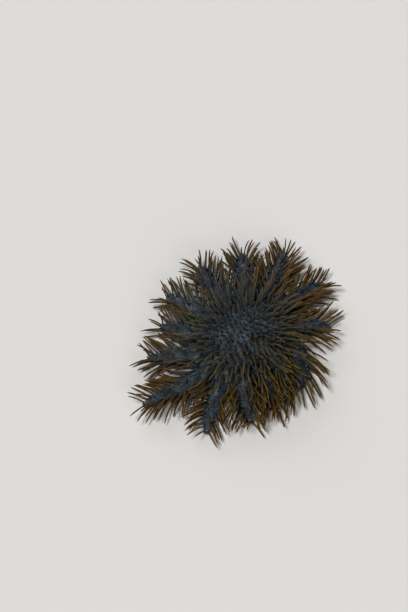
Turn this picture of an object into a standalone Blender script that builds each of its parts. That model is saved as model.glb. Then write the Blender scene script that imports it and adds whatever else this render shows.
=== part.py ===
"""A crown-of-thorns starfish at life size, lying on a flat floor.

The disc is a low dome drawn out along one diagonal. Fourteen arms grow from its wall, each one a
loft of rounded sections with an open groove along its flat underside. Every arm and the disc carry
tapered spines that are fused into the body. Metres, +Z up, the underside at z = 0, and the origin
under the middle of the whole animal's box.
"""

import math
import random

import bmesh
import bpy
import numpy as np
from mathutils import Matrix, Vector
from mathutils.bvhtree import BVHTree

MM = 0.001
UP = Vector((0, 0, 1))
GAP = 0.3 * MM  # kept between neighbouring nodes
MERGE = 0.01 * MM  # points nearer than this are one point
SEED = 41
CREASE_ANGLE = math.radians(40)  # a sharper edge than this is shaded sharp

# The disc: its radius swings by DISC_STRETCH about the mean, longest along STRETCH_HEADING.
DISC_RADIUS = 63 * MM
DISC_STRETCH = 6 * MM
STRETCH_HEADING = math.radians(45)
DISC_HEIGHT = 43 * MM
CREST_HEIGHT = 25 * MM  # an arm's ridge where it leaves the disc
SHOULDER_HEIGHT = 22.5 * MM  # half way from the ridge to the crease
CREASE_HEIGHT = 14 * MM  # between two arms
DISC_RINGS = (0.82, 0.56, 0.18)  # share of the way out from the middle
LOBES_FADE_IN = 0.40  # inside this share the arms' ridges no longer show on the disc

# Each arm, clockwise from the top right: heading from the disc's middle, lean at the root and sweep
# over the free length, all in degrees and anticlockwise, then the free length and the tip's lift.
ARMS = (
    ("arm_01", 63, 0, 4, 88 * MM, 4 * MM),
    ("arm_02", 44, 12, -32, 75 * MM, 7 * MM),
    ("arm_03", 19, 0, -14, 56 * MM, 3 * MM),
    ("arm_04", -13, -32, -56, 68 * MM, 2 * MM),
    ("arm_05", -39, -22, -42, 58 * MM, 4 * MM),
    ("arm_06", -66, -8, -18, 52 * MM, 2 * MM),
    ("arm_07", -92, 0, -2, 62 * MM, 5 * MM),
    ("arm_08", -118, -4, 14, 82 * MM, 3 * MM),
    ("arm_09", -138, 0, -22, 104 * MM, 6 * MM),
    ("arm_10", -160, 0, -24, 76 * MM, 3 * MM),
    ("arm_11", 177, 0, -8, 62 * MM, 5 * MM),
    ("arm_12", 148, 0, 10, 76 * MM, 2 * MM),
    ("arm_13", 118, 0, -6, 80 * MM, 6 * MM),
    ("arm_14", 88, 0, -10, 80 * MM, 3 * MM),
)
STATIONS = (0, 0.10, 0.26, 0.46, 0.66, 0.83, 0.94, 1)  # where an arm's sections stand
PATH_STEPS = 200
LEAN_OVER = 0.25  # share of the free length in which the lean is taken up
WIDTH_TAPER = 0.46
HEIGHT_TAPER = 0.50
TIP_ROUNDNESS = 5  # a higher power makes a blunter tip
TIP_SHARE = 0.16  # of the full section, left at the last station
FREE_SIDE = 0.42  # height of the widest point of a free arm, as a share of its height
FREE_SHOULDER = (0.64, 0.86)  # across and up, as shares of half width and height
FOOT_SHARE = 0.86  # half width of the flat underside, as a share of the half width
BACK_FOOT = 0.3  # height of the lowest row of spines, as a share of the arm's height
SIDE_RISE = 0.18  # how far the spines of that row still point up

# The open groove along each arm's underside, and the mouth that the grooves meet in
GROOVE_HALF_WIDTH = 3.4 * MM
GROOVE_DEPTH = 3.6 * MM
GROOVE_ROOF = 0.6  # width of the groove's roof, as a share of its opening
GROOVE_LIMITS = (0.4, 0.3)  # most of a small section's half width and height that it takes
GROOVE_START = 0.8  # share of the mouth's radius where the disc's grooves begin
GROOVE_NARROWING = 0.55  # their width there, as a share of their width at the wall
GROOVE_OVERSHOOT = 5 * MM
MOUTH_RADIUS = 11 * MM
MOUTH_DEPTH = 6 * MM
MOUTH_HOLE_RADIUS = 2.6 * MM
MOUTH_SIDES = 20
LIP_HEIGHT = 1.2 * MM  # the mouth's lips stop this far above the floor
LIP_CREST = 0.62  # where they reach lowest, as a share of the mouth's radius
LIP_ROLL = (1.2 * MM, 1.6 * MM)  # how far they round off towards the hole and towards the rim

# Spines
SPINE_SIDES = 3
SPINE_RADIUS = 2.0 * MM  # at the skin
SPINE_FULLNESS = 0.76  # share of that radius left at the bend
SPINE_BEND_AT = 0.5
SPINE_ROOT_DEPTH = 2.2 * MM
SPINE_CLEARANCE = 0.35 * MM
FLOOR_CLEARANCE = 0.6 * MM
TESTED_SHARES = (0.2, 0.35, 0.5, 0.65, 0.8, 0.92, 1.0)  # where a spine is held against the bodies
OWN_ROOM = 0.6  # share of its radius that it keeps from the body it grows on
INSIDE_REACH = 9 * MM  # a point nearer than this behind a face is inside the body
SPINE_TRIES = 60
FIRST_TURN = 0.12  # spread of a spine's aim at the first try
LAST_TURN = 0.45  # and at the last
LAST_CUT = 0.4  # share of its length that is given up by the last try

ARM_SPINE_SPACING = 8.2 * MM
ARM_ROWS = (
    (-0.92, -0.64, 0.64, 0.92),
    (-0.80, -0.44, 0.44, 0.80),
    (-0.92, -0.64, 0.0, 0.64, 0.92),
    (-0.80, -0.44, 0.44, 0.80),
)
ARM_SPINE_LENGTH = 33 * MM  # on the ridge
SIDE_SPINE_EXTRA = 9 * MM  # added towards an arm's edges
TIP_SPINE_SHARE = 0.66  # of the length that is left at the arm's tip
ARM_SPINE_LEAN = (1.05, 1.30)  # towards the tip, at the arm's root and at its end
# How much more the spines lie along the arms that crowd together
COMBED = {"arm_04": 0.7, "arm_05": 0.9, "arm_06": 0.8, "arm_07": 0.3}
ARM_SPINE_VARIATION = (0.88, 1.08)
END_SPINE_AT = 0.99  # share of the arm where its last spine stands
END_SPINE_RISE = 0.5

DISC_SPINE_SPACING = 9.4 * MM
DISC_SPINE_REACH = 0.95  # share of the disc's radius that they cover
DISC_SPINE_LENGTHS = (17 * MM, 41 * MM)  # at the middle and at the edge
DISC_SPINE_LEAN = (0.12, 1.20)  # outwards, at the middle and at the edge
DISC_LEAN_GROWTH = 1.4  # a higher power keeps the lean for the edge
DISC_SPINE_POLE = Vector((0, -0.45, 1))  # where the spines at the middle point
DISC_SPINE_VARIATION = (0.9, 1.08)
GOLDEN_ANGLE = math.pi * (3 - math.sqrt(5))

SKIN_COLOUR = (0.060, 0.085, 0.125, 1)
SKIN_ROUGHNESS = 0.7
MOUTH_COLOUR = (0.30, 0.24, 0.20, 1)
MOUTH_ROUGHNESS = 0.6


def heading_vector(angle):
    return Vector((math.cos(angle), math.sin(angle), 0))


def smoothstep(value):
    value = min(1.0, max(0.0, value))
    return value * value * (3 - 2 * value)


def mix(first, second, share):
    return first + (second - first) * share


def clear_scene():
    for obj in list(bpy.data.objects):
        bpy.data.objects.remove(obj, do_unlink=True)


def new_collection(name):
    collection = bpy.data.collections.new(name)
    bpy.context.scene.collection.children.link(collection)
    return collection


def helper_collection(name):
    collection = new_collection(name)
    collection.hide_render = True
    return collection


def new_material(name, colour, roughness):
    material = bpy.data.materials.new(name)
    material.use_nodes = True
    shader = material.node_tree.nodes["Principled BSDF"]
    shader.inputs["Base Color"].default_value = colour
    shader.inputs["Roughness"].default_value = roughness
    shader.inputs["Metallic"].default_value = 0
    material.diffuse_color = colour
    return material


def object_from(bm, name, collection):
    """Turns a bmesh into an object with its faces pointing out."""
    bmesh.ops.recalc_face_normals(bm, faces=bm.faces)
    mesh = bpy.data.meshes.new(name)
    bm.to_mesh(mesh)
    bm.free()
    obj = bpy.data.objects.new(name, mesh)
    collection.objects.link(obj)
    return obj


def loft(name, rings, collection):
    """A closed solid through rings of equally many points, with a flat cap at each end."""
    bm = bmesh.new()
    loops = [[bm.verts.new(point) for point in ring] for ring in rings]
    for lower, upper in zip(loops, loops[1:]):
        for i, corner in enumerate(lower):
            j = (i + 1) % len(lower)
            bm.faces.new((corner, lower[j], upper[j], upper[i]))
    bm.faces.new(loops[0])
    bm.faces.new(loops[-1])
    bmesh.ops.triangulate(bm, faces=bm.faces)
    return object_from(bm, name, collection)


def cut(body, cutters, operation="DIFFERENCE"):
    """Applies one Boolean with every object of the cutters' collection, then removes them."""
    modifier = body.modifiers.new("cut", "BOOLEAN")
    modifier.operation = operation
    modifier.operand_type = "COLLECTION"
    modifier.collection = cutters
    modifier.solver = "MANIFOLD" if operation == "UNION" else "EXACT"
    graph = bpy.context.evaluated_depsgraph_get()
    mesh = bpy.data.meshes.new_from_object(body.evaluated_get(graph))
    body.modifiers.clear()
    body.data = mesh
    mesh.name = body.name
    for obj in list(cutters.objects):
        bpy.data.objects.remove(obj, do_unlink=True)
    bpy.data.collections.remove(cutters)


def disc_radius_at(angle):
    return DISC_RADIUS + DISC_STRETCH * math.cos(2 * (angle - STRETCH_HEADING))


def disc_corners():
    """The disc's outline: one corner between each two neighbouring arms."""
    headings = [math.radians(arm[1]) for arm in ARMS]
    corners = []
    for i, heading in enumerate(headings):
        previous = headings[i - 1]
        between = heading + ((previous - heading) % math.tau) / 2
        corners.append(heading_vector(between) * disc_radius_at(between))
    return corners


class Arm:
    """An arm's path and sections, in the disc's own frame."""

    def __init__(self, index, corners):
        self.name, _, lean, sweep, self.length, self.lift = ARMS[index]
        start, end = corners[index], corners[(index + 1) % len(corners)]
        self.wall = (start, end)
        self.root = (start + end) / 2
        across = (start - end).normalized()
        self.outward = across.cross(UP)
        if self.outward.dot(self.root) < 0:
            self.outward.negate()
        self.first_angle = math.atan2(self.outward.y, self.outward.x)
        self.root_half_width = (start - end).length / 2 - GAP
        self.lean = math.radians(lean)
        self.sweep = math.radians(sweep)
        self.path = self.trace_path()

    def angle_at(self, share):
        return self.first_angle + self.lean * smoothstep(share / LEAN_OVER) + self.sweep * share

    def trace_path(self):
        points = [self.root + self.outward * GAP]
        for i in range(PATH_STEPS):
            angle = self.angle_at((i + 0.5) / PATH_STEPS)
            points.append(points[-1] + heading_vector(angle) * self.length / PATH_STEPS)
        return points

    def centre_at(self, share):
        position = min(1.0, max(0.0, share)) * PATH_STEPS
        whole = min(int(position), PATH_STEPS - 1)
        ground = self.path[whole].lerp(self.path[whole + 1], position - whole)
        return ground + UP * self.lift * share**3

    def fullness(self, share):
        return max(TIP_SHARE, math.sqrt(max(0.0, 1 - share**TIP_ROUNDNESS)))

    def half_width_at(self, share):
        return self.root_half_width * (1 - WIDTH_TAPER * share) * self.fullness(share)

    def height_at(self, share):
        return CREST_HEIGHT * (1 - HEIGHT_TAPER * share) * self.fullness(share)

    def outline_at(self, share):
        """The section's (across, up) points: the groove, then round over the back."""
        width, height = self.half_width_at(share), self.height_at(share)
        freed = smoothstep(share / LEAN_OVER)
        foot = width * mix(1, FOOT_SHARE, freed)
        side = height * mix(CREASE_HEIGHT / CREST_HEIGHT, FREE_SIDE, freed)
        shoulder_across = width * mix(0.5, FREE_SHOULDER[0], freed)
        shoulder_up = height * mix(SHOULDER_HEIGHT / CREST_HEIGHT, FREE_SHOULDER[1], freed)
        groove = min(GROOVE_HALF_WIDTH, GROOVE_LIMITS[0] * width)
        depth = min(GROOVE_DEPTH, GROOVE_LIMITS[1] * height)
        roof = groove * GROOVE_ROOF
        right = [(groove, 0), (foot, 0), (width, side), (shoulder_across, shoulder_up)]
        left = [(-across, up) for across, up in reversed(right)]
        return [(-roof, depth), (roof, depth), *right, (0, height), *left]

    def frame_at(self, share):
        along = heading_vector(self.angle_at(share))
        return self.centre_at(share), along, along.cross(UP)

    def ring_at(self, share):
        centre, _, across = self.frame_at(share)
        return [centre + across * x + UP * z for x, z in self.outline_at(share)]

    def back_point(self, share, row):
        """A point on the back and the outward direction there. Row runs from -1 to 1 across it."""
        centre, along, across = self.frame_at(share)
        lean = row * math.pi / 2
        width, height = self.half_width_at(share), self.height_at(share)
        rise = mix(BACK_FOOT, 1, math.cos(lean))
        outward = across * math.sin(lean) + UP * mix(SIDE_RISE, 1, math.cos(lean))
        return centre + across * width * math.sin(lean) + UP * height * rise, outward.normalized(), along


def disc_rings(arms):
    """The disc's rings from the foot of its wall, up to the wall's top and in over the dome."""
    tops = ((0, CREASE_HEIGHT), (0.25, SHOULDER_HEIGHT), (0.5, CREST_HEIGHT), (0.75, SHOULDER_HEIGHT))
    foot, top = [], []
    for arm in arms:
        start, end = arm.wall
        for share, height in tops:
            place = start.lerp(end, share)
            foot.append(place)
            top.append(place + UP * height)
    rings = [foot, top]
    for share in DISC_RINGS:
        dome = DISC_HEIGHT - (DISC_HEIGHT - CREST_HEIGHT) * share**2
        lobes = smoothstep((share - LOBES_FADE_IN) / (1 - LOBES_FADE_IN))
        ring = []
        for place in top:
            dip = (CREST_HEIGHT - place.z) * lobes
            ring.append(Vector((place.x * share, place.y * share, dome - dip)))
        rings.append(ring)
    return rings


def make_groove_cutter(arm, cutters):
    """The stretch of one arm's groove that runs under the disc, from the mouth past the wall."""
    across = arm.outward.cross(UP)
    stations = (
        (arm.root.normalized() * MOUTH_RADIUS * GROOVE_START, GROOVE_HALF_WIDTH * GROOVE_NARROWING),
        (arm.root, GROOVE_HALF_WIDTH),
        (arm.root + arm.outward * GROOVE_OVERSHOOT, GROOVE_HALF_WIDTH),
    )
    rings = []
    for centre, half_width in stations:
        right = ((half_width, -GROOVE_DEPTH), (half_width, 0), (half_width * GROOVE_ROOF, GROOVE_DEPTH))
        left = [(-x, z) for x, z in reversed(right)]
        rings.append([centre + across * x + UP * z for x, z in (*right, *left)])
    loft(arm.name + "_groove", rings, cutters)


def make_disc(arms, collection):
    """The dome with the mouth's recess and one groove towards each arm."""
    disc = loft("disc", disc_rings(arms), collection)
    cutters = helper_collection("disc_cutters")
    bm = bmesh.new()
    bmesh.ops.create_cone(
        bm,
        cap_ends=True,
        segments=MOUTH_SIDES,
        radius1=MOUTH_RADIUS,
        radius2=MOUTH_RADIUS,
        depth=2 * MOUTH_DEPTH,
    )
    object_from(bm, "mouth_recess", cutters)
    for arm in arms:
        make_groove_cutter(arm, cutters)
    cut(disc, cutters)
    return disc


def make_mouth(collection):
    """The lips round the mouth: a ring with a hole, seated in the disc's recess."""
    bm = bmesh.new()
    inner, outer = MOUTH_HOLE_RADIUS, MOUTH_RADIUS - GAP
    low, high = LIP_HEIGHT, MOUTH_DEPTH - GAP
    profile = (
        (inner, high),
        (outer, high),
        (outer, low + LIP_ROLL[1]),
        (outer * LIP_CREST, low),
        (inner, low + LIP_ROLL[0]),
    )
    points = [bm.verts.new((x, 0, z)) for x, z in profile]
    for first, second in zip(points, points[1:] + points[:1]):
        bm.edges.new((first, second))
    bmesh.ops.spin(
        bm,
        geom=bm.verts[:] + bm.edges[:],
        cent=(0, 0, 0),
        axis=UP,
        angle=math.tau,
        steps=MOUTH_SIDES,
        use_merge=True,
    )
    bmesh.ops.remove_doubles(bm, verts=bm.verts, dist=MERGE)
    bmesh.ops.triangulate(bm, faces=bm.faces)
    return object_from(bm, "mouth", collection)


def surface_of(obj):
    points = [vertex.co.copy() for vertex in obj.data.vertices]
    faces = [tuple(polygon.vertices) for polygon in obj.data.polygons]
    return BVHTree.FromPolygons(points, faces)


def segment_distances(start, end, starts, ends):
    """How near a segment comes to each of many, and where on it and on each, as shares."""
    along, others = end - start, ends - starts
    between = start - starts
    a, e = along @ along, np.einsum("ij,ij->i", others, others)
    f, b = np.einsum("ij,ij->i", others, between), others @ along
    c = between @ along
    spread = np.maximum(a * e - b * b, 1e-18)
    here = np.clip((b * f - c * e) / spread, 0, 1)
    there = np.clip((b * here + f) / e, 0, 1)
    here = np.clip((b * there - c) / a, 0, 1)
    nearest = (start + here[:, None] * along) - (starts + there[:, None] * others)
    return np.linalg.norm(nearest, axis=1), here, there


def spine_radius_at(share):
    fuller = np.minimum(share / SPINE_BEND_AT, 1)
    finer = np.maximum((share - SPINE_BEND_AT) / (1 - SPINE_BEND_AT), 0)
    return SPINE_RADIUS * (1 - (1 - SPINE_FULLNESS) * fuller) * (1 - finer)


class Spines:
    """Places spines one by one, each clear of the bodies and of the spines already placed."""

    def __init__(self, bodies):
        self.surfaces = {obj.name: surface_of(obj) for obj in bodies}
        self.placed = {obj.name: [] for obj in bodies}
        self.starts = np.empty((0, 3))
        self.ends = np.empty((0, 3))
        self.random = random.Random(SEED)
        self.dropped = 0

    def clear_of_bodies(self, owner, root, tip):
        """Whether a spine keeps off the floor and every body, its sunk root off the others'."""
        sunk = -SPINE_ROOT_DEPTH / (tip - root).length
        for share in (sunk, 0, *TESTED_SHARES):
            point = root.lerp(tip, share)
            room = spine_radius_at(max(share, 0)) + GAP
            if share > 0 and point.z < room + FLOOR_CLEARANCE:
                return False
            for name, surface in self.surfaces.items():
                if name == owner and share <= 0:
                    continue
                reach = room * OWN_ROOM if name == owner else room + GAP
                place, normal, _, distance = surface.find_nearest(point, INSIDE_REACH)
                if place is None:
                    continue
                if distance < reach or (point - place).dot(normal) < 0:
                    return False
        return True

    def clear_of_spines(self, root, tip):
        if not len(self.starts):
            return True
        start, end = np.array(root), np.array(tip)
        distance, here, there = segment_distances(start, end, self.starts, self.ends)
        room = spine_radius_at(here) + spine_radius_at(there) + SPINE_CLEARANCE
        return bool((distance > room).all())

    def add(self, owner, near, direction, length):
        """Sets a spine near a point, and turns or shortens it a little until it is clear."""
        root, _, _, _ = self.surfaces[owner].find_nearest(near)
        for attempt in range(SPINE_TRIES):
            tried = attempt / SPINE_TRIES
            spread = mix(FIRST_TURN, LAST_TURN, tried)
            turn = Vector([self.random.gauss(0, spread) for _ in range(3)])
            aim = (direction + turn).normalized()
            tip = root + aim * length * (1 - LAST_CUT * tried)
            if self.clear_of_bodies(owner, root, tip) and self.clear_of_spines(root, tip):
                self.placed[owner].append((root, tip))
                self.starts = np.vstack((self.starts, root))
                self.ends = np.vstack((self.ends, tip))
                return
        self.dropped += 1

    def fuse(self, body):
        """Joins a body's spines to it in one Boolean union."""
        pieces = helper_collection(body.name + "_spines")
        for root, tip in self.placed[body.name]:
            make_spine(root, tip, pieces)
        cut(body, pieces, "UNION")


def make_spine(root, tip, collection):
    """A three-sided cone, fuller in the middle than a straight taper, with its root sunk in."""
    aim = (tip - root).normalized()
    length = (tip - root).length
    bm = bmesh.new()
    bmesh.ops.create_cone(
        bm, cap_ends=True, segments=SPINE_SIDES, radius1=SPINE_RADIUS, radius2=0, depth=length
    )
    bmesh.ops.remove_doubles(bm, verts=bm.verts, dist=MERGE)
    bmesh.ops.translate(bm, verts=bm.verts, vec=UP * length / 2)
    bend = UP * length * SPINE_BEND_AT
    everything = bm.verts[:] + bm.edges[:] + bm.faces[:]
    ring = bmesh.ops.bisect_plane(bm, geom=everything, plane_co=bend, plane_no=UP)["geom_cut"]
    waist = [item for item in ring if isinstance(item, bmesh.types.BMVert)]
    fuller = SPINE_FULLNESS / (1 - SPINE_BEND_AT)
    bmesh.ops.scale(bm, verts=waist, vec=(fuller, fuller, 1))
    for vertex in bm.verts:
        if vertex.co.z < bend.z / 2:
            vertex.co.z = -SPINE_ROOT_DEPTH
    place = Matrix.Translation(root) @ aim.to_track_quat("Z", "Y").to_matrix().to_4x4()
    bmesh.ops.transform(bm, matrix=place, verts=bm.verts)
    bmesh.ops.triangulate(bm, faces=bm.faces)
    object_from(bm, "spine", collection)


def add_arm_spines(spines, arm):
    """Staggered rows across the back: longer towards the edges, shorter towards the tip."""
    count = round(arm.length / ARM_SPINE_SPACING)
    combed = COMBED.get(arm.name, 0)
    for station in range(count):
        share = (station + 0.5) / count
        for row in ARM_ROWS[station % len(ARM_ROWS)]:
            near, outward, along = arm.back_point(share, row)
            aim = outward + along * (mix(*ARM_SPINE_LEAN, share) + combed)
            length = ARM_SPINE_LENGTH + SIDE_SPINE_EXTRA * abs(row)
            length *= mix(1, TIP_SPINE_SHARE, share**2) * spines.random.uniform(*ARM_SPINE_VARIATION)
            spines.add(arm.name, near, aim.normalized(), length)
    near, _, along = arm.back_point(END_SPINE_AT, 0)
    aim = (along + UP * END_SPINE_RISE).normalized()
    spines.add(arm.name, near, aim, ARM_SPINE_LENGTH * TIP_SPINE_SHARE)


def add_disc_spines(spines):
    """Spines spread evenly over the dome, leaning outwards towards its edge."""
    count = round(math.pi * DISC_RADIUS**2 / DISC_SPINE_SPACING**2)
    for i in range(count):
        angle = i * GOLDEN_ANGLE
        reach = math.sqrt((i + 0.5) / count)
        flat = heading_vector(angle) * disc_radius_at(angle) * reach * DISC_SPINE_REACH
        aim = DISC_SPINE_POLE + heading_vector(angle) * mix(*DISC_SPINE_LEAN, reach**DISC_LEAN_GROWTH)
        length = mix(*DISC_SPINE_LENGTHS, reach**2) * spines.random.uniform(*DISC_SPINE_VARIATION)
        height = mix(DISC_HEIGHT, SHOULDER_HEIGHT, reach**2)
        spines.add("disc", flat + UP * height, aim.normalized(), length)


def keep_largest_body(obj):
    """Drops any loose scrap, so that the node is one closed body."""
    bm = bmesh.new()
    bm.from_mesh(obj.data)
    left = set(bm.verts)
    bodies = []
    while left:
        grown, edge = set(), [left.pop()]
        while edge:
            vertex = edge.pop()
            grown.add(vertex)
            for link in vertex.link_edges:
                other = link.other_vert(vertex)
                if other in left:
                    left.remove(other)
                    edge.append(other)
        bodies.append(grown)
    largest = max(bodies, key=len)
    scraps = [vertex for body in bodies if body is not largest for vertex in body]
    bmesh.ops.delete(bm, geom=scraps, context="VERTS")
    bm.to_mesh(obj.data)
    bm.free()


def centre_on_origin(nodes):
    """Moves every node alike, so that the origin is under the middle of the whole box."""
    points = np.array([vertex.co for obj in nodes for vertex in obj.data.vertices])
    middle = (points.min(axis=0) + points.max(axis=0)) / 2
    shift = Matrix.Translation((-middle[0], -middle[1], -points[:, 2].min()))
    for obj in nodes:
        obj.data.transform(shift)
    return shift.translation


def finish_node(obj, material):
    obj.data.materials.clear()
    obj.data.materials.append(material)
    obj.data.shade_smooth()
    obj.data.set_sharp_from_angle(angle=CREASE_ANGLE)


def main():
    clear_scene()
    starfish = new_collection("crown_of_thorns_starfish")
    corners = disc_corners()
    arms = [Arm(i, corners) for i in range(len(ARMS))]
    disc = make_disc(arms, starfish)
    mouth = make_mouth(starfish)
    bodies = [loft(arm.name, [arm.ring_at(s) for s in STATIONS], starfish) for arm in arms]
    spines = Spines([disc, *bodies])
    add_disc_spines(spines)
    for arm in arms:
        add_arm_spines(spines, arm)
    for body in [disc, *bodies]:
        spines.fuse(body)
        keep_largest_body(body)
    skin = new_material("spiny_skin", SKIN_COLOUR, SKIN_ROUGHNESS)
    lips = new_material("mouth_skin", MOUTH_COLOUR, MOUTH_ROUGHNESS)
    for body in [disc, *bodies]:
        finish_node(body, skin)
    finish_node(mouth, lips)
    nodes = [disc, mouth, *bodies]
    shift = centre_on_origin(nodes)
    total = sum(len(polygon.vertices) - 2 for obj in nodes for polygon in obj.data.polygons)
    placed = sum(len(found) for found in spines.placed.values())
    print("spines", placed, "left out", spines.dropped, "triangles", total)
    print("disc's middle in mm", [round(value / MM, 2) for value in shift])


main()
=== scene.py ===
"""The looks of a crown-of-thorns starfish lying on a plain floor.

One skin replaces the solids of the disc and the arms. Spines, papulae, tube feet and the small blunt
spines of the underside are meshes of many tapered tubes, all made by one function. Metres, in the
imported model's frame.
"""

import math
import random

import bmesh
import bpy
import numpy as np
from mathutils import Matrix, Vector, noise
from mathutils.bvhtree import BVHTree
from mathutils.kdtree import KDTree


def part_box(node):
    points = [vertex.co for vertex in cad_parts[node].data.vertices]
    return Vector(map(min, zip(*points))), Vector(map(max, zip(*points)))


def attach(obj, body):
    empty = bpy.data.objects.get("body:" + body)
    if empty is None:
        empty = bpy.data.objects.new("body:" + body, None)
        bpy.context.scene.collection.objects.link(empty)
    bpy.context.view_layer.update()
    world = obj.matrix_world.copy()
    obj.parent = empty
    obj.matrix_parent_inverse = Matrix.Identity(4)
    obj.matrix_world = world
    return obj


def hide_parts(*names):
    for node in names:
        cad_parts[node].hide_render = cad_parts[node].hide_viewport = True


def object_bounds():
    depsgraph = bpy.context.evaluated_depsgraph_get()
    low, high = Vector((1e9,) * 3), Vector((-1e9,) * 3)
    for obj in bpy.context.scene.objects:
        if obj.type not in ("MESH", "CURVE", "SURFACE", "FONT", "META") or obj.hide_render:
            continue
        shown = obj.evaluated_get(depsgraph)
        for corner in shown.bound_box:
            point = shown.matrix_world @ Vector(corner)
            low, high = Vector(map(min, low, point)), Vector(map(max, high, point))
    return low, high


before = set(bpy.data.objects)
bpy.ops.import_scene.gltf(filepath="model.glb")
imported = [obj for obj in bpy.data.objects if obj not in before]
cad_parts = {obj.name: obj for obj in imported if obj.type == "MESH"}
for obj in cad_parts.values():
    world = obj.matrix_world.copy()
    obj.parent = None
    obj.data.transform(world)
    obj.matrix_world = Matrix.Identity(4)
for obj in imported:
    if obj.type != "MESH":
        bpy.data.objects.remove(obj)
CAD_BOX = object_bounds()

MM = 0.001
UP = Vector((0, 0, 1))
MOUTH_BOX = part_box("mouth")
CENTRE = Vector(((MOUTH_BOX[0].x + MOUTH_BOX[1].x) / 2, (MOUTH_BOX[0].y + MOUTH_BOX[1].y) / 2, 0))

# The body's sizes are those of the solids.
GAP = 0.3 * MM
DISC_RADIUS = 63 * MM
DISC_STRETCH = 6 * MM
STRETCH_HEADING = math.radians(45)
DISC_HEIGHT = 43 * MM
CREST_HEIGHT = 25 * MM
SHOULDER_HEIGHT = 22.5 * MM
CREASE_HEIGHT = 14 * MM
LOBES_FADE_IN = 0.40
CREST_ROUNDNESS = 0.6

# Each arm: heading, lean at the root and sweep in degrees anticlockwise, free length, tip's lift.
ARMS = (
    ("arm_01", 63, 0, 4, 88 * MM, 4 * MM),
    ("arm_02", 44, 12, -32, 75 * MM, 7 * MM),
    ("arm_03", 19, 0, -14, 56 * MM, 3 * MM),
    ("arm_04", -13, -32, -56, 68 * MM, 2 * MM),
    ("arm_05", -39, -22, -42, 58 * MM, 4 * MM),
    ("arm_06", -66, -8, -18, 52 * MM, 2 * MM),
    ("arm_07", -92, 0, -2, 62 * MM, 5 * MM),
    ("arm_08", -118, -4, 14, 82 * MM, 3 * MM),
    ("arm_09", -138, 0, -22, 104 * MM, 6 * MM),
    ("arm_10", -160, 0, -24, 76 * MM, 3 * MM),
    ("arm_11", 177, 0, -8, 62 * MM, 5 * MM),
    ("arm_12", 148, 0, 10, 76 * MM, 2 * MM),
    ("arm_13", 118, 0, -6, 80 * MM, 6 * MM),
    ("arm_14", 88, 0, -10, 80 * MM, 3 * MM),
)
PATH_STEPS = 200
LEAN_OVER = 0.25
WIDTH_TAPER = 0.46
HEIGHT_TAPER = 0.50
TIP_ROUNDNESS = 5
TIP_SHARE = 0.16
FREE_SIDE = 0.42
FOOT_SHARE = 0.86
BACK_FOOT = 0.3
SIDE_RISE = 0.18
GROOVE_HALF_WIDTH = 3.4 * MM
GROOVE_DEPTH = 3.6 * MM
GROOVE_ROOF = 0.6
GROOVE_LIMITS = (0.4, 0.3)
GROOVE_START = 0.8
GROOVE_NARROWING = 0.55
GROOVE_END = 0.97
MOUTH_RADIUS = 11 * MM
MOUTH_DEPTH = 6 * MM

# The skin
SKIN_VOXEL = 1.12 * MM
SMOOTHING_ROUNDS = 7
UNDERSIDE = 2.2 * MM  # its flat belly, which small spines and tube feet hold off the floor
ARM_OVERLAP = 14 * MM  # how far each arm's loft runs on into the disc
SECTION_POINTS = 40
BACK_FULLNESS = 0.9  # a lower power makes an arm's section fuller above
SIDE_DROP = 1.5  # how fast its sides come down, and its belly becomes flat and wide
BELLY_WIDTH = 1.34
ARM_RINGS = 46
ARM_RING_POWER = 0.9  # lets the rings crowd towards an arm's end
DOME_COLUMNS = 196
DOME_RINGS = 26
DOME_RING_POWER = 1.1
DOME_RING_REACH = 0.99
GROOVE_STEP = 1 * MM
BELLY_FACING = -0.2  # the belly is all that faces down more than this, up to BELLY_TOP
BELLY_TOP = 12 * MM
MOUTH_EDGE = 2 * MM  # width of the slope round the mouth's recess
SOCKET_RADIUS = 2.9 * MM  # the mound that a spine stands on
SOCKET_HEIGHT = 0.9 * MM
SWELL_SIZE = 11 * MM  # soft unevenness of the skin
SWELL_HEIGHT = 0.7 * MM
GRAIN_SIZE = 2.6 * MM
GRAIN_HEIGHT = 0.28 * MM
RELIEF_TOP = UNDERSIDE + 3 * MM  # the relief fades in between the belly and this height
SHADE_EDGE_FACING = (0.35, 0.50)  # rise of the normal where the painted shade on the flanks gives way to the slate back, and in the crowd
SHADE_EDGE_SPAN = 0.42
CROWD_RANGE = (0.55, 0.90)  # how nearly a place faces CROWD_HEADING
SHADE_PATCH_RANGE = (-0.22, 0.14)  # swells that break the crowd's slate into patches of painted shade
BELOW_FACING = (0.15, -0.35)  # rise of the normal, and height, between which the belly's pale
BELOW_HEIGHT = (9 * MM, 4 * MM)  # skin sets in

# Where the spines stand
SPINE_SEED = 17
SPINE_RADIUS = 1.35 * MM
SPINE_SIDES = 12
SPINE_CLEARANCE = 0.2 * MM
FLOOR_CLEARANCE = 0.4 * MM
INSIDE_REACH = 7 * MM
SPINE_TRIES = 30
FIRST_TURN = 0.11
LAST_TURN = 0.32
LAST_CUT = 0.35
BOX_MARGIN = 1.5 * MM  # how far a tip may pass the solids' box
ARM_SPINE_SPACING = 5.7 * MM
ARM_ROWS = (
    (-0.98, -0.72, 0.72, 0.98),
    (-0.86, -0.50, 0.50, 0.86),
    (-0.98, -0.72, 0.0, 0.72, 0.98),
    (-0.86, -0.54, 0.46, 0.86),
)
ARM_SPINE_LENGTH = 33 * MM
SIDE_SPINE_EXTRA = 9 * MM
TIP_SPINE_SHARE = 0.66
ARM_SPINE_LEAN = (1.05, 1.30)
END_SPINE_AT = 0.99
END_SPINE_ROWS = (-0.5, 0, 0.5)
END_SPINE_RISE = 0.6
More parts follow.
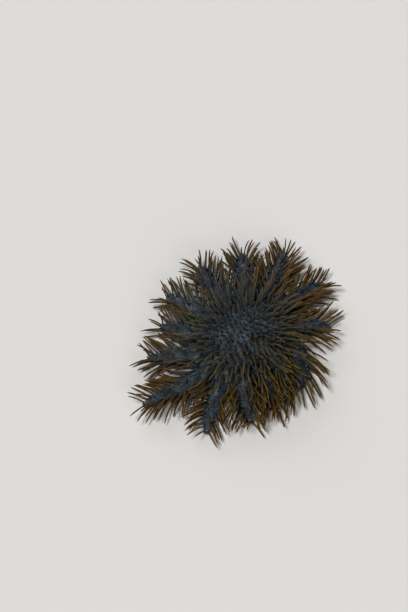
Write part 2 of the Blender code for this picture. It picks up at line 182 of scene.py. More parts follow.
# How much more the spines lie along the arms that crowd together
COMBED = {"arm_04": 0.7, "arm_05": 0.9, "arm_06": 0.8, "arm_07": 0.3}
CROWDED = ("arm_05", "arm_06")
CROWDED_ROWS = (-0.26, 0.26)  # the rows that only these two have
CROWD_HEADING = math.radians(-50)
CROWD_GROWTH = 0.22  # how much longer their spines are
DISC_SPINE_SPACING = 7.0 * MM
DISC_SPINE_REACH = 0.97
DISC_SPINE_LENGTHS = (17 * MM, 41 * MM)
DISC_SPINE_LEAN = (0.12, 1.20)
DISC_LEAN_GROWTH = 1.4
POLE = Vector((0, -0.45, 1))  # where the spines at the disc's middle point
SPINE_VARIATION = (0.84, 1.10)
TESTED_SHARES = (0.22, 0.34, 0.46, 0.58, 0.70, 0.85, 1.0)  # where a spine is held against the skin
LINE_SHARES = np.array([0.0, 0.34, 0.67, 1.0])  # where its line is tested for crossings
DROOP = 0.042  # how far its middle is pushed out of the straight line, by its length
DROOP_RISE = 0.9
DRIFT = 0.10
DRIFT_SIZE = 32 * MM
DRIFT_OFFSETS = (Vector((11, 3, 5)), Vector((2, 17, 9)), Vector((7, 4, 23)))
GOLDEN_ANGLE = math.pi * (3 - math.sqrt(5))

# A spine's form: (share of its length, share of its radius), with a stout base under a slight neck
SPINE_PROFILE = (
    (-0.08, 1.55), (0.00, 1.45), (0.04, 1.18), (0.09, 1.03), (0.15, 0.97), (0.21, 0.95), (0.26, 0.92),
    (0.30, 0.84), (0.34, 0.88), (0.42, 0.90), (0.52, 0.89), (0.62, 0.86), (0.72, 0.81), (0.81, 0.74),
    (0.88, 0.64), (0.94, 0.48), (0.98, 0.28), (1.00, 0.08),
)
THICKNESS_VARIATION = (0.86, 1.12)
THICK_LENGTH = 30 * MM  # a shorter spine is thinner, and a longer one thicker, by the square root
THICK_LIMITS = (0.7, 1.1)
LUMPS = 0.05
LUMPS_LOST = 0.8  # share of them that the tip lacks
EDGES = 0.14  # how far three edges stand out at the tip
EDGE_RANGE = (0.5, 0.9)

# A spine's colour: the share that blue skin covers, and how grey and how rusty its shaft is
SHEATHS = {"disc": 0.24, "middle": 0.24, "side": 0.13}
SHEATH_GROWTH = 0.45  # and how much more of it where the spines are greyest
BARE_HEADING = math.radians(-35)  # the side where they are least grey
DRAB_FALLS = (0.62, 0.42)  # how fast the grey is lost outwards and towards that side
OLIVE_HEADING = math.radians(-62)  # the side where they are more olive than rusty
WARMTH = 0.28
WARMTH_TURN = 0.30
WARMTH_SPREAD = 0.75
WARMTH_START = 0.8  # share of the disc's radius beyond which they get rustier
WARMTH_DRIFT = 0.5
WARMTH_OFFSET = Vector((3, 7, 1))

# The soft gills of the back
PAPULA_PIECES = 3
PAPULAE_IN_PIECE = 3000
PAPULA_PROFILE = ((-0.25, 1.15), (0.1, 1.0), (0.45, 0.92), (0.8, 0.78), (1.0, 0.35))
PAPULA_SIDES = 5
PAPULA_HEIGHT = (1.1, 2.3)  # in mm
PAPULA_RADIUS = (0.30, 0.50)  # in mm
PAPULA_TILT = 0.28
PAPULA_FACING = -0.1
PAPULA_FLOOR = 5 * MM
PAPULA_ROOM = 2.1 * MM
PAPULA_PATCH = 7 * MM
PAPULA_OFFSET = Vector((5, 1, 3))
PAPULA_CROWDING = 0.45
PAPULA_LEAST = 0.02

# All the tubes
DETAIL_SEED = 23
FLOOR_TOUCH = 0.05 * MM  # none comes nearer to the floor
CELL_MARGIN = 0.04  # of a tube's cell in the OFBake map

# The underside's small things, with feet and blunt spines in two pieces each
UNDERSIDE_PIECES = 2
FOOT_PROFILE = (  # soft feet, with a sucker at the end
    (0.00, 1.0), (0.14, 1.1), (0.30, 0.98), (0.46, 1.05), (0.62, 0.92), (0.76, 0.85), (0.86, 0.95),
    (0.93, 1.45), (0.985, 1.62), (1.0, 1.35),
)
FOOT_SPACING = 2.5 * MM
FOOT_RADIUS = (0.42 * MM, 0.56 * MM)
FOOT_SIDES = 9
FOOT_SOLE = 0.15 * MM
FOOT_STANCE = (0.42, 0.62)  # shares of the groove's half width at its root and at its sole
FOOT_ROOT = 0.8  # share of the groove's depth
FOOT_SWAY = 0.35  # in mm
FOOT_BEND = 0.35
TIP_HANG = 0.6  # share of an arm's lift by which its feet stay off the floor
PEG_PROFILE = ((0.0, 1.15), (0.15, 0.95), (0.45, 0.95), (0.75, 0.88), (0.92, 0.62), (1.0, 0.25))
PEG_SIDES = 7
PEG_SPACING = 2.7 * MM
BELLY_PEG_SPACING = 4.6 * MM
BELLY_ROWS = (-0.98, -0.72, 0.72, 0.98)
BELLY_REACH = (1.15, 0.98)  # from this share of the mouth's radius to this share of the disc's
PEG_INSET = 0.7 * MM
PEG_ROOM = 1.5 * PEG_INSET
PEG_LENGTH = (2.8 * MM, 4.2 * MM)
PEG_RADIUS = (0.50 * MM, 0.72 * MM)
PEG_CLEARANCE = 0.35 * MM
PEG_CEILING = 3.5 * UNDERSIDE
PEG_SUNK = 0.5 * MM
PEG_TURN = 0.12
GROOVE_PEG_LEAN = (0.5, 0.15)  # sideways and along the arm, for 1 down
ARM_PEG_LEAN = (1.3, 0.5)
DISC_PEG_LEAN = 0.7
PEG_LEAST_DROP = 0.2
PEG_BEND = 0.2
MOUTH_COLUMNS = 140
MOUTH_PROFILE = (  # (radius, height) in mm, from the roof out, down round the lip and up the opening
    (0.02, 5.6), (6.0, 5.6), (10.6, 5.6), (10.7, 4.4), (10.3, 3.3), (9.2, 2.7), (7.8, 2.6), (6.4, 2.3),
    (5.2, 1.9), (4.2, 1.6), (3.4, 1.7), (2.8, 2.2), (2.4, 3.0), (2.2, 4.0), (2.0, 4.9), (0.02, 5.1),
)
MOUTH_FOLD = 0.5 * MM
FOLD_START = 3  # the profile's point where the folds begin
FOLD_SPAN = 3
FOLD_SHARES = (0.6, 0.5)  # outwards and upwards
OPENING_RADIUS = 2.0  # in mm
MOUTH_SPINES = ((-1, 0.72), (1, 0.72), (-0.35, 0.5), (0.35, 0.5))  # (side, reach) on each corner
MOUTH_SPINE_RADIUS = (0.55, 0.75)  # in mm
MOUTH_SPINE_SIDES = 8
MOUTH_SPINE_STANCE = (1.3 * MM, 0.6 * MM)  # half the spread of their roots and of their tips
MOUTH_SPINE_ROOT = 1.06
MOUTH_SPINE_RISE = (0.6 * MM, 0.9 * MM)  # roots above the belly, and tips above the floor
MOUTH_SPINE_STRAY = 0.3  # in mm
SIEVE_TURNS = [math.radians(angle) for angle in (25, 100, 172, 240, 318)]
SIEVE_PLACES = (0.30, 0.48)  # shares of the disc's radius between which each finds room
SIEVE_SWING = 0.2
SIEVE_TRIES = 7
ABOVE_ALL = 0.1  # a height over the whole animal
SIEVE_RADIUS = 2.0 * MM
SIEVE_VARIATION = (0.85, 1.15)
SIEVE_HEIGHT = 1.1 * MM
SIEVE_SUNK = 0.5 * MM
SIEVE_RINGS = 14
SIEVE_COLUMNS = 66
SIEVE_FURROWS = 11
SIEVE_LOBES = 0.06
FURROW_HEIGHT = 0.10 * MM
EYESPOT_RADIUS = 0.55 * MM
EYESPOT_SIDES = 10
EYESPOT_SEED = 5
EYESPOT_RISE = (0.5, 0.6)  # of the end's height and of the belly's
EYESPOT_BACK = 1.5 * MM
EYESPOT_LENGTH = 2.6 * MM
EYESPOT_DROP = 0.4 * MM

# The camera: the disc's middle shows at DISC_PIXEL of a 408 by 612 frame, seen from 64 degrees up.
IMAGE_SIZE = (408, 612)
DISC_PIXEL = (246, 344)
PIXELS_PER_METRE = 720
CAMERA_DISTANCE = 2.2
CAMERA_ELEVATION = math.radians(64)
SENSOR = 36.0

# Each light: name, direction it comes from, softness, strength, colour
LIGHTS = (
    ("key", (-0.58, -0.22, 1.55), 0.30, 1.85),
    ("front_fill", (0.7, -1.4, 0.8), 0.6, 0.9, (1.0, 0.97, 0.92)),
    ("back_fill", (-0.9, 1.4, 0.8), 0.6, 0.8),
)
FLOOR_SIZE = 30
FLOOR_COLOUR = (0.84, 0.83, 0.81)
AIR_COLOUR = (0.90, 0.93, 0.95)
AIR_STRENGTH = 0.08

# Colours
SLATE_DARK = (0.009, 0.014, 0.019)
SLATE = (0.048, 0.076, 0.100)
SLATE_PALE = (0.135, 0.196, 0.243)
SLATE_GREY = (0.088, 0.104, 0.112)
# Painted shade, dark brown-black, for the skin's sideways-facing flanks and the gaps among the crowded arms
FLANK_SHADE = (0.011, 0.007, 0.004)
RUST = (0.098, 0.034, 0.006)
OLIVE = (0.100, 0.074, 0.018)
OCHRE = (0.112, 0.058, 0.010)
DRAB = (0.112, 0.102, 0.064)
TIP_PALE = (0.215, 0.152, 0.060)
GRAIN_PALE = (0.170, 0.115, 0.036)
GILL_PALE = (0.160, 0.145, 0.110)
BELLY = (0.30, 0.24, 0.165)
BELLY_DARK = (0.19, 0.145, 0.10)
BELLY_SEAM = (0.085, 0.062, 0.045)
TISSUE_TONES = ((0.0, (0.24, 0.17, 0.10)), (1.0, (0.36, 0.29, 0.19)))
TISSUE_END = (0.42, 0.30, 0.14)
TISSUE_DARK = (0.13, 0.10, 0.075)
MOUTH_TONES = ((0.3, (0.15, 0.10, 0.07)), (0.55, (0.30, 0.22, 0.15)), (0.75, (0.38, 0.31, 0.23)))
SIEVE_TONES = ((0.35, (0.036, 0.048, 0.057)), (0.65, (0.110, 0.130, 0.135)))
EYESPOT_TONES = ((0.35, (0.10, 0.012, 0.006)), (0.65, (0.34, 0.045, 0.018)))


def heading_vector(angle):
    return Vector((math.cos(angle), math.sin(angle), 0))


def clamp(value, low=0.0, high=1.0):
    return min(high, max(low, value))


def smoothstep(value):
    value = clamp(value)
    return value * value * (3 - 2 * value)


def smooth_array(values):
    values = np.clip(values, 0, 1)
    return values * values * (3 - 2 * values)


def fade(values, start, end):
    """From 0 at start to 1 at end, smoothly."""
    return smooth_array((values - start) / (end - start))


def mix(first, second, share):
    return first + (second - first) * share


def unit_rows(vectors):
    return vectors / np.maximum(np.linalg.norm(vectors, axis=-1, keepdims=True), 1e-12)


def columns(rows):
    """The columns of a table, as arrays."""
    return (np.array(column) for column in zip(*rows))


def noise_at(points, size, offset=Vector()):
    return np.array([noise.noise(Vector(point) / size + offset) for point in points])


def point_tree(points):
    tree = KDTree(len(points))
    for i, point in enumerate(points):
        tree.insert(point, i)
    tree.balance()
    return tree


def spiral(spacing):
    """(angle, share of the radius) of places spread evenly over the disc."""
    count = round(math.pi * DISC_RADIUS**2 / spacing**2)
    return [(i * GOLDEN_ANGLE, math.sqrt((i + 0.5) / count)) for i in range(count)]


def disc_radius_at(angle):
    return DISC_RADIUS + DISC_STRETCH * math.cos(2 * (angle - STRETCH_HEADING))


def disc_corners():
    headings = [math.radians(arm[1]) for arm in ARMS]
    corners = []
    for i, heading in enumerate(headings):
        previous = headings[i - 1]
        between = heading + ((previous - heading) % math.tau) / 2
        corners.append(heading_vector(between) * disc_radius_at(between))
    return corners


class Arm:
    """An arm's path and sections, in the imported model's frame."""

    def __init__(self, index, corners):
        self.name, _, lean, sweep, self.length, self.lift = ARMS[index]
        start, end = corners[index], corners[(index + 1) % len(corners)]
        self.wall = (start, end)
        self.root = (start + end) / 2
        across = (start - end).normalized()
        self.outward = across.cross(UP)
        if self.outward.dot(self.root) < 0:
            self.outward.negate()
        self.first_angle = math.atan2(self.outward.y, self.outward.x)
        self.root_half_width = (start - end).length / 2 - GAP
        self.lean = math.radians(lean)
        self.sweep = math.radians(sweep)
        self.path = [CENTRE + self.root + self.outward * GAP]
        for i in range(PATH_STEPS):
            angle = self.angle_at((i + 0.5) / PATH_STEPS)
            self.path.append(self.path[-1] + heading_vector(angle) * self.length / PATH_STEPS)

    def angle_at(self, share):
        return self.first_angle + self.lean * smoothstep(share / LEAN_OVER) + self.sweep * share

    def centre_at(self, share):
        position = clamp(share) * PATH_STEPS
        whole = min(int(position), PATH_STEPS - 1)
        ground = self.path[whole].lerp(self.path[whole + 1], position - whole)
        rise = UP * self.lift * max(0.0, share) ** 3
        return ground + rise + self.outward * self.length * min(0.0, share)

    def fullness(self, share):
        return max(TIP_SHARE, math.sqrt(max(0.0, 1 - max(0.0, share) ** TIP_ROUNDNESS)))

    def half_width_at(self, share):
        return self.root_half_width * (1 - WIDTH_TAPER * max(0.0, share)) * self.fullness(share)

    def height_at(self, share):
        return CREST_HEIGHT * (1 - HEIGHT_TAPER * max(0.0, share)) * self.fullness(share)

    def frame_at(self, share):
        along = heading_vector(self.angle_at(max(0.0, share)))
        return self.centre_at(share), along, along.cross(UP)

    def ring_at(self, share):
        """A smooth closed section: rounded over the back, flat below."""
        centre, _, across = self.frame_at(share)
        width, height = self.half_width_at(share), self.height_at(share)
        freed = smoothstep(share / LEAN_OVER)
        side = height * mix(CREASE_HEIGHT / CREST_HEIGHT, FREE_SIDE, freed)
        foot = mix(1, FOOT_SHARE, freed)
        points = []
        for i in range(SECTION_POINTS):
            turn = math.tau * i / SECTION_POINTS
            x, z = math.cos(turn), math.sin(turn)
            if z >= 0:
                bulge = z**BACK_FULLNESS
                points.append(centre + across * width * x + UP * (side + (height - side) * bulge))
            else:
                low = min(1.0, -z * SIDE_DROP)
                inward = mix(1, foot, low * low) * min(1.0, abs(x) * BELLY_WIDTH) * math.copysign(1, x)
                points.append(centre + across * width * inward + UP * side * (1 - low))
        return points

    def back_point(self, share, row):
        """A point on the back and the outward direction there. Row runs from -1 to 1 across it."""
        centre, along, across = self.frame_at(share)
        lean = row * math.pi / 2
        width, height = self.half_width_at(share), self.height_at(share)
        rise = mix(BACK_FOOT, 1, math.cos(lean))
        outward = across * math.sin(lean) + UP * mix(SIDE_RISE, 1, math.cos(lean))
        return centre + across * width * math.sin(lean) + UP * height * rise, outward.normalized(), along

    def groove_points(self, spacing):
        """(place, direction along, direction across, half width, depth) along the groove."""
        found = []
        start = CENTRE + self.root.normalized() * MOUTH_RADIUS * GROOVE_START
        end = CENTRE + self.root
        steps = max(2, round((end - start).length / spacing))
        along = (end - start).normalized()
        for i in range(steps):
            share = (i + 0.5) / steps
            half_width = GROOVE_HALF_WIDTH * mix(GROOVE_NARROWING, 1, share)
            found.append((start.lerp(end, share), along, along.cross(UP), half_width, GROOVE_DEPTH))
        steps = max(2, round(self.length / spacing))
        for i in range(steps):
            share = (i + 0.5) / steps * GROOVE_END
            centre, along, across = self.frame_at(share)
            half_width = min(GROOVE_HALF_WIDTH, GROOVE_LIMITS[0] * self.half_width_at(share))
            depth = min(GROOVE_DEPTH, GROOVE_LIMITS[1] * self.height_at(share))
            found.append((centre, along, across, half_width, depth))
        return found


class Grooves:
    """The grooves below all the arms, as closely spaced places."""

    def __init__(self, arms):
        self.places = [place for arm in arms for place in arm.groove_points(GROOVE_STEP)]
        self.tree = point_tree([(place[0].x, place[0].y, 0) for place in self.places])

    def nearest(self, x, y):
        """How far away the nearest groove's middle is, and that groove's half width and depth."""
        _, index, distance = self.tree.find((x, y, 0))
        return distance, *self.places[index][3:]

    def is_clear(self, point):
        distance, half_width, _ = self.nearest(point.x, point.y)
        return distance - half_width > PEG_ROOM


def linked_object(name, data):
    obj = bpy.data.objects.new(name, data)
    bpy.context.scene.collection.objects.link(obj)
    return obj


def mesh_object(name, points, faces):
    mesh = bpy.data.meshes.new(name)
    mesh.from_pydata(points, [], faces)
    mesh.update()
    return linked_object(name, mesh)


def loft_faces(rings, columns, first=0):
    """Quads between rings of equally many points, with a cap at each end."""
    faces = []
    for r in range(rings - 1):
        for c in range(columns):
            d = (c + 1) % columns
            low, high = first + r * columns, first + (r + 1) * columns
            faces.append((low + c, low + d, high + d, high + c))
    faces.append([first + c for c in reversed(range(columns))])
    faces.append([first + (rings - 1) * columns + c for c in range(columns)])
    return faces


def wall_height_at(angle, arms):
    """Height of the disc's rim: a rounded crest for each arm and a crease between two."""
    for arm in arms:
        start, end = arm.wall
        first = math.atan2(start.y, start.x)
        turn = (first - angle) % math.tau
        whole = (first - math.atan2(end.y, end.x)) % math.tau
        if turn <= whole:
            crest = math.sin(math.pi * turn / whole) ** CREST_ROUNDNESS if 0 < turn < whole else 0
            return mix(CREASE_HEIGHT, CREST_HEIGHT, crest)
    return CREASE_HEIGHT


def dome_parts(arms):
    """Points and faces of the disc's dome on a flat bottom."""
    rims = []
    for i in range(DOME_COLUMNS):
        angle = math.tau * i / DOME_COLUMNS
        rims.append((heading_vector(angle), disc_radius_at(angle), wall_height_at(angle, arms)))
    rings = [[CENTRE + heading * radius for heading, radius, _ in rims]]
    for r in range(DOME_RINGS):
        share = 1 - (r / DOME_RINGS) ** DOME_RING_POWER * DOME_RING_REACH
        dome = DISC_HEIGHT - (DISC_HEIGHT - CREST_HEIGHT) * share**2
        lobes = smoothstep((share - LOBES_FADE_IN) / (1 - LOBES_FADE_IN))
        ring = []
        for heading, radius, top in rims:
            ring.append(CENTRE + heading * radius * share + UP * (dome - (CREST_HEIGHT - top) * lobes))
        rings.append(ring)
    points = [point for ring in rings for point in ring]
    return points, loft_faces(len(rings), DOME_COLUMNS)


def arm_parts(arm):
    points = []
    for i in range(ARM_RINGS):
        reach = math.sin(math.pi / 2 * i / (ARM_RINGS - 1)) ** ARM_RING_POWER
        share = mix(-ARM_OVERLAP / arm.length, 1, reach)
        points.extend(arm.ring_at(share))
    return points, loft_faces(ARM_RINGS, SECTION_POINTS)


def applied(obj):
    """Replaces an object's mesh by the one its modifiers make."""
    graph = bpy.context.evaluated_depsgraph_get()
    mesh = bpy.data.meshes.new_from_object(obj.evaluated_get(graph))
    obj.modifiers.clear()
    obj.data = mesh
    mesh.name = obj.name


def coordinates_of(obj):
    points = np.empty(len(obj.data.vertices) * 3, np.float32)
    obj.data.vertices.foreach_get("co", points)
    return points.reshape(-1, 3).astype(float)


def set_coordinates(obj, points):
    obj.data.vertices.foreach_set("co", points.astype(np.float32).ravel())
    obj.data.update()


def normals_of(obj):
    normals = np.empty(len(obj.data.vertices) * 3, np.float32)
    obj.data.vertex_normals.foreach_get("vector", normals)
    return normals.reshape(-1, 3).astype(float)


def set_attribute(mesh, name, values):
    attribute = mesh.attributes.new(name, "FLOAT", "POINT")
    attribute.data.foreach_set("value", np.asarray(values, np.float32).ravel())


def press_grooves(points, normals, grooves):
    """Lifts the belly's points into the grooves and the mouth's recess."""
    for i in np.nonzero((normals[:, 2] < BELLY_FACING) & (points[:, 2] < BELLY_TOP))[0]:
        x, y, _ = points[i]
        distance, half_width, depth = grooves.nearest(x, y)
        groove = depth * smoothstep((half_width - distance) / (half_width * (1 - GROOVE_ROOF)))
        to_edge = MOUTH_RADIUS - math.hypot(x - CENTRE.x, y - CENTRE.y)
        recess = (MOUTH_DEPTH - UNDERSIDE) * smoothstep(to_edge / MOUTH_EDGE)
        points[i, 2] += max(groove, recess)


def make_skin(arms, grooves):
    """The fused body of disc and arms, smoothed, with its grooves."""
    points, faces = [], []
    for part_points, part_faces in (dome_parts(arms), *[arm_parts(arm) for arm in arms]):
        faces.extend([tuple(len(points) + i for i in face) for face in part_faces])
        points.extend(part_points)
    skin = mesh_object("skin", points, faces)
    remesh = skin.modifiers.new("fuse", "REMESH")
    remesh.mode = "VOXEL"
    remesh.voxel_size = SKIN_VOXEL
    smooth = skin.modifiers.new("soften", "SMOOTH")
    smooth.factor = 0.5
    smooth.iterations = SMOOTHING_ROUNDS
    applied(skin)
    points = coordinates_of(skin)
    points[:, 2] = np.maximum(points[:, 2], UNDERSIDE)
    press_grooves(points, normals_of(skin), grooves)
    set_coordinates(skin, points)
    return skin


def surface_tree(obj):
    points = [vertex.co.copy() for vertex in obj.data.vertices]
    faces = [tuple(polygon.vertices) for polygon in obj.data.polygons]
    return BVHTree.FromPolygons(points, faces)


def segment_distances(start, end, starts, ends):
    """How near a segment comes to each of many, and where on it and on each, as shares."""
    along, others = end - start, ends - starts
    between = start - starts
    a, e = along @ along, np.einsum("ij,ij->i", others, others)
    f, b = np.einsum("ij,ij->i", others, between), others @ along
    c = between @ along
    spread = np.maximum(a * e - b * b, 1e-18)
    here = np.clip((b * f - c * e) / spread, 0, 1)
    there = np.clip((b * here + f) / e, 0, 1)
    here = np.clip((b * there - c) / a, 0, 1)
    nearest = (start + here[:, None] * along) - (starts + there[:, None] * others)
    return np.linalg.norm(nearest, axis=1), here, there


def spine_radius_at(share):
    shares, radii = zip(*SPINE_PROFILE)
    return SPINE_RADIUS * np.interp(share, shares, radii)


def bow_of(root, aim, length):
    """How far a spine's middle is pushed aside: it droops, and neighbours bend alike."""
    droop = Vector((-aim.x, -aim.y, DROOP_RISE)) * DROOP
    drift = Vector([noise.noise(root / DRIFT_SIZE + offset) for offset in DRIFT_OFFSETS])
    bow = droop + drift * DRIFT
    return (bow - aim * bow.dot(aim)) * length


def spine_line(root, tip, bow, shares):
    """Points of a spine at shares of its length."""
    shares = np.asarray(shares)[:, None]
    root, tip, bow = np.array(root), np.array(tip), np.array(bow)
    return root + (tip - root) * shares + bow * 4 * shares * (1 - shares)


class Spines:
    """Places spines one by one on the skin, each clear of it and of the spines already placed."""

    def __init__(self, tree):
        self.tree = tree
        self.roots = []
        self.starts = np.empty((0, 3))
        self.ends = np.empty((0, 3))
        self.placed = {}
        self.random = random.Random(SPINE_SEED)
        low, high = CAD_BOX
        self.low = low - Vector((BOX_MARGIN,) * 3)
        self.high = high + Vector((BOX_MARGIN,) * 3)

    def clear_of_skin(self, root, tip, bow):
        for share, point in zip(TESTED_SHARES, spine_line(root, tip, bow, TESTED_SHARES)):
            point = Vector(point)
            room = float(spine_radius_at(share))
            if point.z < room + FLOOR_CLEARANCE:
                return False
            place, normal, _, distance = self.tree.find_nearest(point, INSIDE_REACH)
            if place is None:
                continue
            if distance < room or (point - place).dot(normal) < 0:
                return False
        return True

    def clear_of_spines(self, line):
        if not self.roots:
            return True
        lows = np.tile(LINE_SHARES[:-1], len(self.roots))
        steps = np.tile(np.diff(LINE_SHARES), len(self.roots))
        for k in range(len(line) - 1):
            distance, here, there = segment_distances(line[k], line[k + 1], self.starts, self.ends)
            here = mix(LINE_SHARES[k], LINE_SHARES[k + 1], here)
            there = lows + steps * there
            room = spine_radius_at(here) + spine_radius_at(there) + SPINE_CLEARANCE
            if (distance < room).any():
                return False
        return True

    def inside_box(self, tip):
        return all(low <= value <= high for low, value, high in zip(self.low, tip, self.high))

    def add(self, owner, near, direction, length, sheath):
        root, _, _, _ = self.tree.find_nearest(near)
        for attempt in range(SPINE_TRIES):
            tried = attempt / SPINE_TRIES
            spread = mix(FIRST_TURN, LAST_TURN, tried)
            turn = Vector([self.random.gauss(0, spread) for _ in range(3)])
            aim = (direction + turn).normalized()
            tip = root + aim * length * (1 - LAST_CUT * tried)
            if not self.inside_box(tip):
                continue
            bow = bow_of(root, aim, (tip - root).length)
            line = spine_line(root, tip, bow, LINE_SHARES)
            if self.clear_of_skin(root, tip, bow) and self.clear_of_spines(line):
                self.placed.setdefault(owner, []).append((root, tip, bow, sheath))
                self.roots.append(root)
                self.starts = np.vstack((self.starts, line[:-1]))
                self.ends = np.vstack((self.ends, line[1:]))
                return


def place_spines(tree, arms):
    spines = Spines(tree)
    for angle, reach in spiral(DISC_SPINE_SPACING):
        flat = heading_vector(angle) * disc_radius_at(angle) * reach * DISC_SPINE_REACH
        aim = POLE + heading_vector(angle) * mix(*DISC_SPINE_LEAN, reach**DISC_LEAN_GROWTH)
        length = mix(*DISC_SPINE_LENGTHS, reach**2) * spines.random.uniform(*SPINE_VARIATION)
        near = CENTRE + flat + UP * mix(DISC_HEIGHT, SHOULDER_HEIGHT, reach**2)
        spines.add("disc", near, aim.normalized(), length, SHEATHS["disc"])
    for arm in arms:
        combed = COMBED.get(arm.name, 0)
        count = round(arm.length / ARM_SPINE_SPACING)
        for station in range(count):
            share = (station + 0.5) / count
            rows = ARM_ROWS[station % len(ARM_ROWS)]
            for row in rows + CROWDED_ROWS if arm.name in CROWDED else rows:
                near, outward, along = arm.back_point(share, row)
                aim = outward + along * (mix(*ARM_SPINE_LEAN, share) + combed)
                length = ARM_SPINE_LENGTH + SIDE_SPINE_EXTRA * abs(row)
                length *= mix(1, TIP_SPINE_SHARE, share**2) * spines.random.uniform(*SPINE_VARIATION)
                length *= 1 + CROWD_GROWTH * combed
                sheath = mix(SHEATHS["middle"], SHEATHS["side"], abs(row))
                spines.add(arm.name, near, aim.normalized(), length, sheath)
        for row in END_SPINE_ROWS:
            near, outward, along = arm.back_point(END_SPINE_AT, row)
            aim = (along + outward * END_SPINE_RISE).normalized()
            spines.add(arm.name, near, aim, ARM_SPINE_LENGTH * TIP_SPINE_SHARE, SHEATHS["side"])
    return spines


def tube_template(rings, sides):
    """Corners, face sizes and map places of one closed tube of quads with a fan at each end."""
    root, tip = rings * sides, rings * sides + 1
    corners, sizes, places = [], [], []
    rows = [mix(0.08, 0.92, r / (rings - 1)) for r in range(rings)]
    for r in range(rings - 1):
        for s in range(sides):
            n = (s + 1) % sides
            corners += [r * sides + s, r * sides + n, (r + 1) * sides + n, (r + 1) * sides + s]
            left, right = s / sides, (s + 1) / sides
            places += [(left, rows[r]), (right, rows[r]), (right, rows[r + 1]), (left, rows[r + 1])]
            sizes.append(4)
    last = (rings - 1) * sides
    for s in range(sides):
        n = (s + 1) % sides
        left, right = s / sides, (s + 1) / sides
        middle = (left + right) / 2
        corners += [root, n, s, tip, last + s, last + n]
        places += [(middle, 0.03), (right, rows[0]), (left, rows[0])]
        places += [(middle, 0.97), (left, rows[-1]), (right, rows[-1])]
        sizes += [3, 3]
    return np.array(corners), np.array(sizes), np.array(places)


def perpendicular_to(vectors):
    """One unit vector at right angles to each."""
    other = np.where(np.abs(vectors[:, 2:]) < 0.8, np.array([0, 0, 1.0]), np.array([1.0, 0, 0]))
    return unit_rows(np.cross(vectors, other))


def make_tubes(name, lines, radii, shares, aims, **traits):
    """One mesh of many closed tubes, flattened where one would reach into the floor.

    Lines are (tubes, rings, 3) points, radii (tubes, rings, sides), and shares say how far along a
    tube each ring is. The shaders get those shares, and traits with one value for each tube. The
    OFBake map gives each tube a cell of its own.
    """
    count, rings, sides = radii.shape
    seeds = perpendicular_to(aims)[:, None]
    tangents = unit_rows(np.gradient(lines, axis=1))
    facing = unit_rows(seeds - tangents * np.sum(seeds * tangents, axis=2, keepdims=True))
    beside = np.cross(tangents, facing)
    turn = np.arange(sides)[:, None] / sides * math.tau
    spokes = np.cos(turn) * facing[:, :, None] + np.sin(turn) * beside[:, :, None]
    shell = lines[:, :, None] + radii[..., None] * spokes
    points = np.concatenate((shell.reshape(count, -1, 3), lines[:, [0, -1]]), axis=1)
    points[..., 2] = np.maximum(points[..., 2], FLOOR_TOUCH)
    each = points.shape[1]
    corners, sizes, places = tube_template(rings, sides)
    corners = corners + np.arange(count)[:, None] * each
    sizes = np.tile(sizes, count)
    mesh = bpy.data.meshes.new(name)
    mesh.vertices.add(count * each)
    mesh.vertices.foreach_set("co", points.astype(np.float32).ravel())
    mesh.loops.add(corners.size)
    mesh.loops.foreach_set("vertex_index", corners.astype(np.int32).ravel())
    mesh.polygons.add(len(sizes))
    mesh.polygons.foreach_set("loop_start", (np.cumsum(sizes) - sizes).astype(np.int32))
    mesh.update(calc_edges=True)
    grid = math.ceil(math.sqrt(count))
    cells = np.stack((np.arange(count) % grid, np.arange(count) // grid), axis=1)
    uv = (cells[:, None] + CELL_MARGIN + (1 - 2 * CELL_MARGIN) * places) / grid
    layer = mesh.uv_layers.new(name="OFBake")
    layer.uv.foreach_set("vector", uv.astype(np.float32).ravel())
    shares = np.clip(shares, 0, 1)
    set_attribute(mesh, "along", np.tile(np.append(np.repeat(shares, sides), shares[[0, -1]]), count))
    for label, values in traits.items():
        set_attribute(mesh, label, np.repeat(values, each))
    mesh.shade_smooth()
    return linked_object(name, mesh)


def round_tubes(name, lines, radii, profile, sides, aims, rng):
    """Round tubes along lines, with one profile of (share of the length, share of the radius)."""
    shares, widths = columns(profile)
    shell = np.repeat((radii[:, None] * widths)[..., None], sides, axis=2)
    return make_tubes(name, lines, shell, shares, aims, tint=rng.uniform(0, 1, len(radii)))


def simple_tubes(name, roots, tips, radii, profile, sides, rng, bend=0.0):
    """Round tubes from roots to tips, straight or slightly bent."""
    roots, aims = np.array(roots), np.array(tips) - np.array(roots)
    shares = next(columns(profile))[:, None]
    sway = rng.normal(0, 1, aims.shape) * (np.linalg.norm(aims, axis=1) * bend)[:, None]
    lines = roots[:, None] + aims[:, None] * shares + sway[:, None] * (shares * (1 - shares))
    return round_tubes(name, lines, radii, profile, sides, aims, rng)


def split_tubes(name, roots, tips, radii, *rest):
    """The same tubes as several pieces of equal size."""
    parts = [np.array_split(np.array(values), UNDERSIDE_PIECES) for values in (roots, tips, radii)]
    return [simple_tubes(f"{name}_{i + 1}", *part, *rest) for i, part in enumerate(zip(*parts))]


def colour_traits(root):
    """How rusty and how grey a spine's shaft is, and how much the blue skin gains on it."""
    flat = root - CENTRE
    flat.z = 0
    reach = flat.length / DISC_RADIUS
    olive = flat.normalized().dot(heading_vector(OLIVE_HEADING))
    outer = max(0.0, reach - WARMTH_START)
    drift = noise.noise(root / DRIFT_SIZE + WARMTH_OFFSET)
    warmth = clamp(WARMTH - WARMTH_TURN * olive + WARMTH_SPREAD * outer + WARMTH_DRIFT * drift)
    bare = clamp(flat.dot(heading_vector(BARE_HEADING)) / DISC_RADIUS, -1.0)
    drab = clamp(1.0 - DRAB_FALLS[0] * reach - DRAB_FALLS[1] * bare)
    return warmth, drab, SHEATH_GROWTH * drab * clamp(0.5 - bare)


